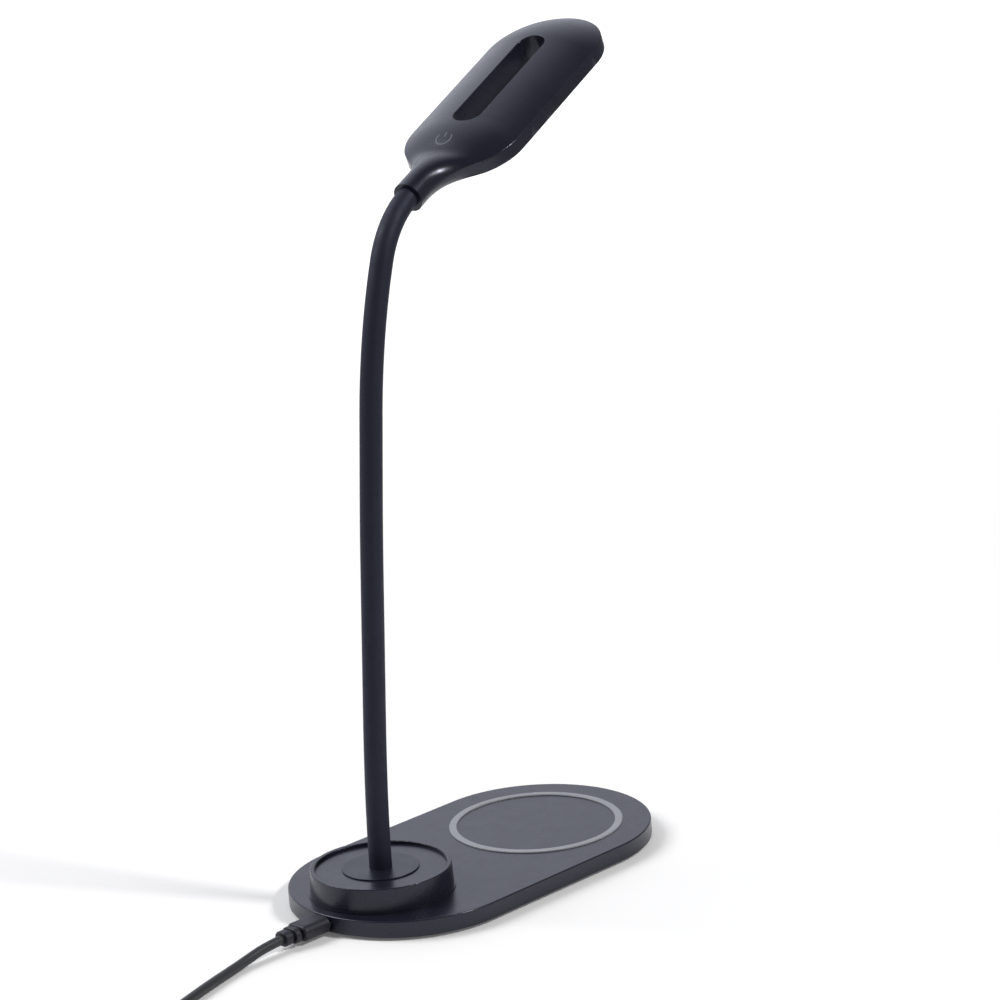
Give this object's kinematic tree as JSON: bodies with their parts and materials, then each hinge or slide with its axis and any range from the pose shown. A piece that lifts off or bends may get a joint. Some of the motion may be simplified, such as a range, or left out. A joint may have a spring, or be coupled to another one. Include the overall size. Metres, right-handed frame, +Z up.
{
  "type": "gooseneck desk lamp",
  "caption": "Desk lamp: oblong LED head with a slot and a touch switch, on a flexible gooseneck that rises from a round hub on a low charging base, with a plug-in supply lead.",
  "frame": {"origin": "on the neck's axis, in the plane that the lamp stands on", "axes": "+X along the base, away from the end where the lead plugs in; +Y across the base; +Z up"},
  "size_m": [0.3242, 0.1535, 0.3013],
  "materials": {
    "navy_plastic": "satin, very dark navy, fine grain",
    "black_plastic": "matte",
    "disc_black": "satin",
    "pad_rubber": "matte silicone",
    "sleeve_rubber": "smooth matte silicone",
    "core_steel": "oiled spring steel",
    "ballast_steel": "zinc plated",
    "screw_steel": "zinc plated",
    "plated_steel": "nickel plated",
    "ferrule_brass": "turned",
    "ring_plastic": "frosted, light grey",
    "coil_copper": "enamelled copper wire",
    "ferrite": "ferrite sheet",
    "board_green": "solder mask",
    "board_white": "white solder mask",
    "chip_black": "moulded epoxy",
    "tongue_white": "moulded",
    "led_yellow": "phosphor",
    "diffuser_opal": "opal",
    "foam_grey": "conductive foam",
    "plug_plastic": "satin",
    "lead_rubber": "smooth, satin",
    "tie_black": "matte"
  },
  "bodies": {
    "base": {"base_cover": "navy_plastic", "base_plate": "black_plastic", "base_pad": "pad_rubber", "base_screws": "screw_steel", "ballast_plate": "ballast_steel", "charge_ring": "ring_plastic", "charge_coil": "coil_copper", "ferrite_shield": "ferrite", "control_board": "board_green", "board_parts": "chip_black", "board_screws": "screw_steel", "usb_socket_shell": "plated_steel", "usb_socket_tongue": "chip_black", "hub_housing": "navy_plastic", "hub_disc": "disc_black", "hub_screws": "screw_steel", "neck_lower_ferrule": "ferrule_brass", "neck_nut": "ferrule_brass", "neck_sleeve_1": "sleeve_rubber", "neck_coil_1": "core_steel", "plug_tip": "plated_steel", "plug_overmould": "plug_plastic", "plug_relief": "plug_plastic", "cord_lead": "lead_rubber", "cord_coil": "lead_rubber", "cord_tail": "lead_rubber", "cord_tie": "tie_black", "far_plug_relief": "plug_plastic", "far_plug_overmould": "plug_plastic", "far_plug_shell": "plated_steel", "far_plug_tongue": "tongue_white"},
    "neck_2": {"neck_sleeve_2": "sleeve_rubber", "neck_coil_2": "core_steel"},
    "neck_3": {"neck_sleeve_3": "sleeve_rubber", "neck_coil_3": "core_steel"},
    "neck_4": {"neck_sleeve_4": "sleeve_rubber", "neck_coil_4": "core_steel"},
    "neck_5": {"neck_sleeve_5": "sleeve_rubber", "neck_coil_5": "core_steel"},
    "neck_6": {"neck_sleeve_6": "sleeve_rubber", "neck_coil_6": "core_steel"},
    "neck_7": {"neck_sleeve_7": "sleeve_rubber", "neck_coil_7": "core_steel"},
    "neck_8": {"neck_sleeve_8": "sleeve_rubber", "neck_coil_8": "core_steel"},
    "head": {"neck_sleeve_9": "sleeve_rubber", "neck_coil_9": "core_steel", "neck_upper_ferrule": "ferrule_brass", "neck_grub_screw": "screw_steel", "head_shell": "navy_plastic", "head_diffuser": "diffuser_opal", "led_board": "board_white", "leds": "led_yellow", "led_board_screws": "screw_steel", "touch_board": "board_green", "touch_pad": "foam_grey"}
  },
  "joints": [
    {"name": "neck_swing_1", "type": "hinge", "parent": "base", "child": "neck_2", "pos_m": [0.00083, 0.00015, 0.04286], "axis": [0.9814, 0.1819, -0.061], "range_deg": [-12, 12]},
    {"name": "neck_tilt_1", "type": "hinge", "parent": "neck_2", "child": "neck_3", "pos_m": [0.00298, 0.00055, 0.07035], "axis": [-0.1822, 0.9833, 0], "range_deg": [-12, 12]},
    {"name": "neck_swing_2", "type": "hinge", "parent": "neck_3", "child": "neck_4", "pos_m": [0.00562, 0.00104, 0.0978], "axis": [0.9786, 0.1814, -0.0976], "range_deg": [-12, 12]},
    {"name": "neck_tilt_2", "type": "hinge", "parent": "neck_4", "child": "neck_5", "pos_m": [0.00827, 0.00153, 0.12525], "axis": [-0.1822, 0.9833, 0], "range_deg": [-12, 12]},
    {"name": "neck_swing_3", "type": "hinge", "parent": "neck_5", "child": "neck_6", "pos_m": [0.01125, 0.00209, 0.15266], "axis": [0.9759, 0.1809, -0.1219], "range_deg": [-12, 12]},
    {"name": "neck_tilt_3", "type": "hinge", "parent": "neck_6", "child": "neck_7", "pos_m": [0.01455, 0.0027, 0.18004], "axis": [-0.1822, 0.9833, 0], "range_deg": [-12, 12]},
    {"name": "neck_swing_4", "type": "hinge", "parent": "neck_7", "child": "neck_8", "pos_m": [0.01947, 0.00361, 0.20714], "axis": [0.9545, 0.1769, -0.2402], "range_deg": [-12, 12]},
    {"name": "neck_tilt_4", "type": "hinge", "parent": "neck_8", "child": "head", "pos_m": [0.02775, 0.00514, 0.23338], "axis": [-0.1822, 0.9833, 0], "range_deg": [-12, 12]}
  ]
}
